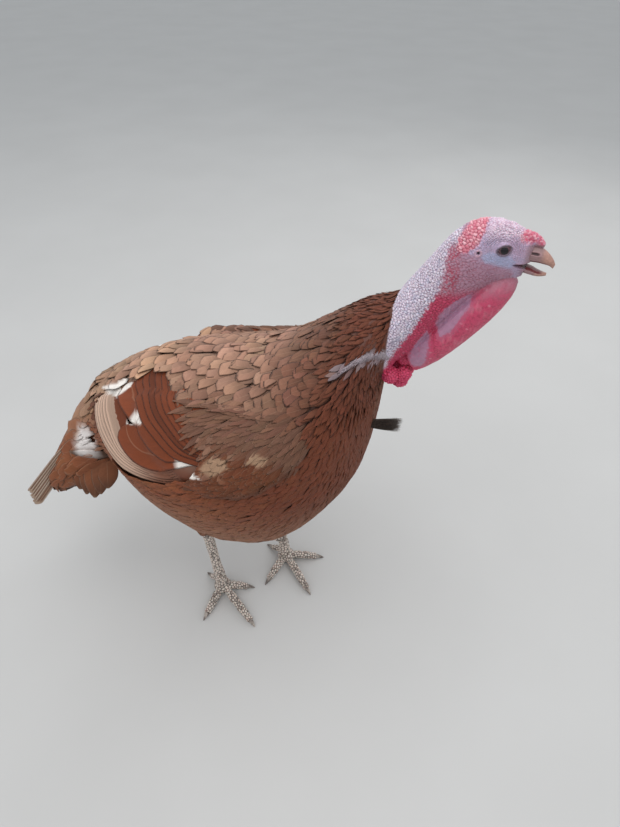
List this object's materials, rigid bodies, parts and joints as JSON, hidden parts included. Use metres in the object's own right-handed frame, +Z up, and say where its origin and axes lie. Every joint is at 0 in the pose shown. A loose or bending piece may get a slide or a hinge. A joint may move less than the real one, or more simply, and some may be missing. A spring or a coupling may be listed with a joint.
{
  "type": "domestic turkey",
  "caption": "Young domestic tom turkey standing at rest, red-brown plumage, bare lilac head and red dewlap, life size, still.",
  "frame": {"origin": "on the floor, under the middle of the whole bird's box", "axes": "+X the way the bird faces, +Y its left, +Z up"},
  "size_m": [0.748, 0.3328, 0.7341],
  "materials": {
    "plumage": "matte small overlapping feathers, red-brown",
    "wing_coverts": "matte red-brown feathers with a faint grey sheen",
    "flight_feathers": "smooth rufous vanes with pale edges and white patches",
    "tail_plumage": "rufous vanes, white at the root, pale edges",
    "face_skin": "moist bare skin, lilac-blue, fine wrinkles",
    "neck_skin": "bare skin, white to lilac, closely wrinkled and pebbled",
    "red_skin": "moist swollen bare skin, vivid red with lilac panels",
    "bill_horn": "worn satin horn",
    "eye": "wet and glossy, dark brown",
    "beard_bristles": "coarse dark bristles",
    "leg_scales": "dry overlapping scales, grey-beige with dark mottling",
    "claw_horn": "worn satin horn"
  },
  "bodies": {
    "root": {"beard": "beard_bristles", "bill_lower": "bill_horn", "bill_upper": "bill_horn", "caruncles": "red_skin", "claw_hind_left": "claw_horn", "claw_hind_right": "claw_horn", "claw_inner_left": "claw_horn", "claw_inner_right": "claw_horn", "claw_middle_left": "claw_horn", "claw_middle_right": "claw_horn", "claw_outer_left": "claw_horn", "claw_outer_right": "claw_horn", "dewlap": "red_skin", "eye_left": "eye", "eye_right": "eye", "head": "face_skin", "neck_bare": "neck_skin", "neck_feathered": "plumage", "snood": "red_skin", "tail_coverts": "tail_plumage", "tail_feathers": "tail_plumage", "tarsus_left": "leg_scales", "tarsus_right": "leg_scales", "thigh_left": "plumage", "thigh_right": "plumage", "toe_hind_left": "leg_scales", "toe_hind_right": "leg_scales", "toe_inner_left": "leg_scales", "toe_inner_right": "leg_scales", "toe_middle_left": "leg_scales", "toe_middle_right": "leg_scales", "toe_outer_left": "leg_scales", "toe_outer_right": "leg_scales", "trunk": "plumage", "wing_coverts_left": "wing_coverts", "wing_coverts_right": "wing_coverts", "wing_flight_left": "flight_feathers", "wing_flight_right": "flight_feathers"}
  },
  "joints": []
}
